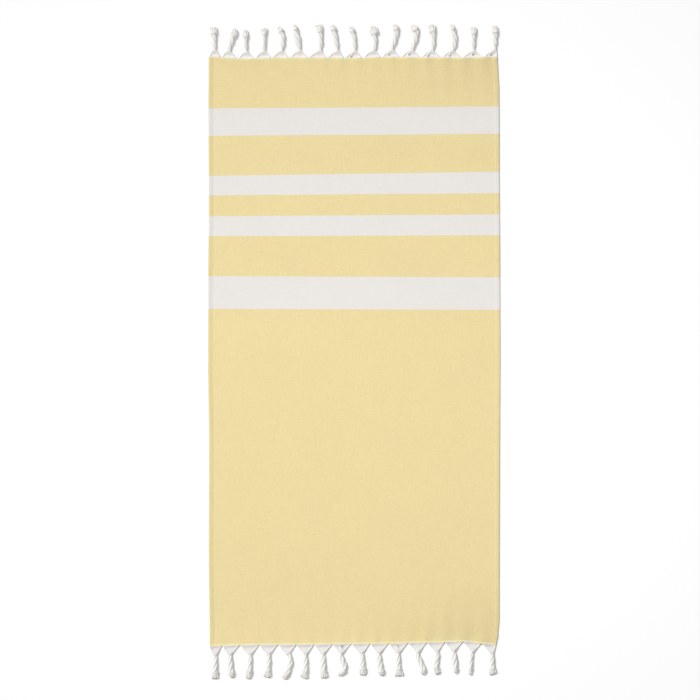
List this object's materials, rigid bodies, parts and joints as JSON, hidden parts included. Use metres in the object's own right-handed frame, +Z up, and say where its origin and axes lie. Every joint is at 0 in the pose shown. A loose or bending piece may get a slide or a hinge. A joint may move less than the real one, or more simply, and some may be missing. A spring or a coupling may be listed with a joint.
{
  "type": "fringed hammam towel",
  "caption": "Flat-woven bath towel laid open, pale yellow with white cross stripes near its head end and knotted white tassels along both ends.",
  "frame": {"origin": "middle of the towel's underside, fringes included, on the surface it lies on", "axes": "+X across the towel, +Y along it towards the striped head end, +Z up from the surface"},
  "size_m": [0.9, 2.0046, 0.014],
  "materials": {
    "yellow_cloth": "dry matt cotton in a small broken twill, white warp and yellow weft",
    "white_cloth": "dry matt cotton in a plain weave, undyed white",
    "white_yarn": "soft undyed cotton yarn, twisted and knotted"
  },
  "bodies": {
    "centre_panel": {"field_centre": "yellow_cloth"},
    "upper_panel": {"white_stripe_2": "white_cloth", "yellow_stripe_2": "yellow_cloth", "white_stripe_3": "white_cloth", "yellow_stripe_3": "yellow_cloth", "white_stripe_4": "white_cloth", "field_upper": "yellow_cloth"},
    "head_panel": {"head_border": "yellow_cloth", "white_stripe_1": "white_cloth", "yellow_stripe_1": "yellow_cloth"},
    "foot_panel": {"field_foot": "yellow_cloth"},
    "head_tassel_01": {"head_tassel_01": "white_yarn"},
    "head_tassel_02": {"head_tassel_02": "white_yarn"},
    "head_tassel_03": {"head_tassel_03": "white_yarn"},
    "head_tassel_04": {"head_tassel_04": "white_yarn"},
    "head_tassel_05": {"head_tassel_05": "white_yarn"},
    "head_tassel_06": {"head_tassel_06": "white_yarn"},
    "head_tassel_07": {"head_tassel_07": "white_yarn"},
    "head_tassel_08": {"head_tassel_08": "white_yarn"},
    "head_tassel_09": {"head_tassel_09": "white_yarn"},
    "head_tassel_10": {"head_tassel_10": "white_yarn"},
    "head_tassel_11": {"head_tassel_11": "white_yarn"},
    "head_tassel_12": {"head_tassel_12": "white_yarn"},
    "head_tassel_13": {"head_tassel_13": "white_yarn"},
    "head_tassel_14": {"head_tassel_14": "white_yarn"},
    "head_tassel_15": {"head_tassel_15": "white_yarn"},
    "head_tassel_16": {"head_tassel_16": "white_yarn"},
    "foot_tassel_01": {"foot_tassel_01": "white_yarn"},
    "foot_tassel_02": {"foot_tassel_02": "white_yarn"},
    "foot_tassel_03": {"foot_tassel_03": "white_yarn"},
    "foot_tassel_04": {"foot_tassel_04": "white_yarn"},
    "foot_tassel_05": {"foot_tassel_05": "white_yarn"},
    "foot_tassel_06": {"foot_tassel_06": "white_yarn"},
    "foot_tassel_07": {"foot_tassel_07": "white_yarn"},
    "foot_tassel_08": {"foot_tassel_08": "white_yarn"},
    "foot_tassel_09": {"foot_tassel_09": "white_yarn"},
    "foot_tassel_10": {"foot_tassel_10": "white_yarn"},
    "foot_tassel_11": {"foot_tassel_11": "white_yarn"},
    "foot_tassel_12": {"foot_tassel_12": "white_yarn"},
    "foot_tassel_13": {"foot_tassel_13": "white_yarn"},
    "foot_tassel_14": {"foot_tassel_14": "white_yarn"},
    "foot_tassel_15": {"foot_tassel_15": "white_yarn"},
    "foot_tassel_16": {"foot_tassel_16": "white_yarn"}
  },
  "joints": [
    {"name": "fold_foot", "type": "hinge", "parent": "centre_panel", "child": "foot_panel", "pos_m": [0, -0.54, 0.008], "axis": [-1, 0, 0], "range_deg": [0, 179.5]},
    {"name": "fold_head", "type": "hinge", "parent": "upper_panel", "child": "head_panel", "pos_m": [0, 0.54, 0.008], "axis": [1, 0, 0], "range_deg": [0, 179.5]},
    {"name": "fold_middle", "type": "hinge", "parent": "centre_panel", "child": "upper_panel", "pos_m": [0, 0, 0.021], "axis": [1, 0, 0], "range_deg": [0, 179.5]},
    {"name": "swing_head_01", "type": "hinge", "parent": "head_panel", "child": "head_tassel_01", "pos_m": [-0.428, 0.9003, 0.0025], "axis": [-1, 0, 0], "range_deg": [-150, 0]},
    {"name": "swing_head_02", "type": "hinge", "parent": "head_panel", "child": "head_tassel_02", "pos_m": [-0.37838, 0.9003, 0.0025], "axis": [-1, 0, 0], "range_deg": [-150, 0]},
    {"name": "swing_head_03", "type": "hinge", "parent": "head_panel", "child": "head_tassel_03", "pos_m": [-0.32769, 0.9003, 0.0025], "axis": [-1, 0, 0], "range_deg": [-150, 0]},
    {"name": "swing_head_04", "type": "hinge", "parent": "head_panel", "child": "head_tassel_04", "pos_m": [-0.27594, 0.9003, 0.0025], "axis": [-1, 0, 0], "range_deg": [-150, 0]},
    {"name": "swing_head_05", "type": "hinge", "parent": "head_panel", "child": "head_tassel_05", "pos_m": [-0.22313, 0.9003, 0.0025], "axis": [-1, 0, 0], "range_deg": [-150, 0]},
    {"name": "swing_head_06", "type": "hinge", "parent": "head_panel", "child": "head_tassel_06", "pos_m": [-0.16925, 0.9003, 0.0025], "axis": [-1, 0, 0], "range_deg": [-150, 0]},
    {"name": "swing_head_07", "type": "hinge", "parent": "head_panel", "child": "head_tassel_07", "pos_m": [-0.11431, 0.9003, 0.0025], "axis": [-1, 0, 0], "range_deg": [-150, 0]},
    {"name": "swing_head_08", "type": "hinge", "parent": "head_panel", "child": "head_tassel_08", "pos_m": [-0.05831, 0.9003, 0.0025], "axis": [-1, 0, 0], "range_deg": [-150, 0]},
    {"name": "swing_head_09", "type": "hinge", "parent": "head_panel", "child": "head_tassel_09", "pos_m": [-0.00124, 0.9003, 0.0025], "axis": [-1, 0, 0], "range_deg": [-150, 0]},
    {"name": "swing_head_10", "type": "hinge", "parent": "head_panel", "child": "head_tassel_10", "pos_m": [0.05689, 0.9003, 0.0025], "axis": [-1, 0, 0], "range_deg": [-150, 0]},
    {"name": "swing_head_11", "type": "hinge", "parent": "head_panel", "child": "head_tassel_11", "pos_m": [0.11608, 0.9003, 0.0025], "axis": [-1, 0, 0], "range_deg": [-150, 0]},
    {"name": "swing_head_12", "type": "hinge", "parent": "head_panel", "child": "head_tassel_12", "pos_m": [0.17634, 0.9003, 0.0025], "axis": [-1, 0, 0], "range_deg": [-150, 0]},
    {"name": "swing_head_13", "type": "hinge", "parent": "head_panel", "child": "head_tassel_13", "pos_m": [0.23766, 0.9003, 0.0025], "axis": [-1, 0, 0], "range_deg": [-150, 0]},
    {"name": "swing_head_14", "type": "hinge", "parent": "head_panel", "child": "head_tassel_14", "pos_m": [0.30004, 0.9003, 0.0025], "axis": [-1, 0, 0], "range_deg": [-150, 0]},
    {"name": "swing_head_15", "type": "hinge", "parent": "head_panel", "child": "head_tassel_15", "pos_m": [0.36349, 0.9003, 0.0025], "axis": [-1, 0, 0], "range_deg": [-150, 0]},
    {"name": "swing_head_16", "type": "hinge", "parent": "head_panel", "child": "head_tassel_16", "pos_m": [0.428, 0.9003, 0.0025], "axis": [-1, 0, 0], "range_deg": [-150, 0]},
    {"name": "swing_foot_01", "type": "hinge", "parent": "foot_panel", "child": "foot_tassel_01", "pos_m": [-0.428, -0.9003, 0.0025], "axis": [1, 0, 0], "range_deg": [-150, 0]},
    {"name": "swing_foot_02", "type": "hinge", "parent": "foot_panel", "child": "foot_tassel_02", "pos_m": [-0.37093, -0.9003, 0.0025], "axis": [1, 0, 0], "range_deg": [-150, 0]},
    {"name": "swing_foot_03", "type": "hinge", "parent": "foot_panel", "child": "foot_tassel_03", "pos_m": [-0.31387, -0.9003, 0.0025], "axis": [1, 0, 0], "range_deg": [-150, 0]},
    {"name": "swing_foot_04", "type": "hinge", "parent": "foot_panel", "child": "foot_tassel_04", "pos_m": [-0.2568, -0.9003, 0.0025], "axis": [1, 0, 0], "range_deg": [-150, 0]},
    {"name": "swing_foot_05", "type": "hinge", "parent": "foot_panel", "child": "foot_tassel_05", "pos_m": [-0.19973, -0.9003, 0.0025], "axis": [1, 0, 0], "range_deg": [-150, 0]},
    {"name": "swing_foot_06", "type": "hinge", "parent": "foot_panel", "child": "foot_tassel_06", "pos_m": [-0.14267, -0.9003, 0.0025], "axis": [1, 0, 0], "range_deg": [-150, 0]},
    {"name": "swing_foot_07", "type": "hinge", "parent": "foot_panel", "child": "foot_tassel_07", "pos_m": [-0.0856, -0.9003, 0.0025], "axis": [1, 0, 0], "range_deg": [-150, 0]},
    {"name": "swing_foot_08", "type": "hinge", "parent": "foot_panel", "child": "foot_tassel_08", "pos_m": [-0.02853, -0.9003, 0.0025], "axis": [1, 0, 0], "range_deg": [-150, 0]},
    {"name": "swing_foot_09", "type": "hinge", "parent": "foot_panel", "child": "foot_tassel_09", "pos_m": [0.02853, -0.9003, 0.0025], "axis": [1, 0, 0], "range_deg": [-150, 0]},
    {"name": "swing_foot_10", "type": "hinge", "parent": "foot_panel", "child": "foot_tassel_10", "pos_m": [0.0856, -0.9003, 0.0025], "axis": [1, 0, 0], "range_deg": [-150, 0]},
    {"name": "swing_foot_11", "type": "hinge", "parent": "foot_panel", "child": "foot_tassel_11", "pos_m": [0.14267, -0.9003, 0.0025], "axis": [1, 0, 0], "range_deg": [-150, 0]},
    {"name": "swing_foot_12", "type": "hinge", "parent": "foot_panel", "child": "foot_tassel_12", "pos_m": [0.19973, -0.9003, 0.0025], "axis": [1, 0, 0], "range_deg": [-150, 0]},
    {"name": "swing_foot_13", "type": "hinge", "parent": "foot_panel", "child": "foot_tassel_13", "pos_m": [0.2568, -0.9003, 0.0025], "axis": [1, 0, 0], "range_deg": [-150, 0]},
    {"name": "swing_foot_14", "type": "hinge", "parent": "foot_panel", "child": "foot_tassel_14", "pos_m": [0.31387, -0.9003, 0.0025], "axis": [1, 0, 0], "range_deg": [-150, 0]},
    {"name": "swing_foot_15", "type": "hinge", "parent": "foot_panel", "child": "foot_tassel_15", "pos_m": [0.37093, -0.9003, 0.0025], "axis": [1, 0, 0], "range_deg": [-150, 0]},
    {"name": "swing_foot_16", "type": "hinge", "parent": "foot_panel", "child": "foot_tassel_16", "pos_m": [0.428, -0.9003, 0.0025], "axis": [1, 0, 0], "range_deg": [-150, 0]}
  ]
}
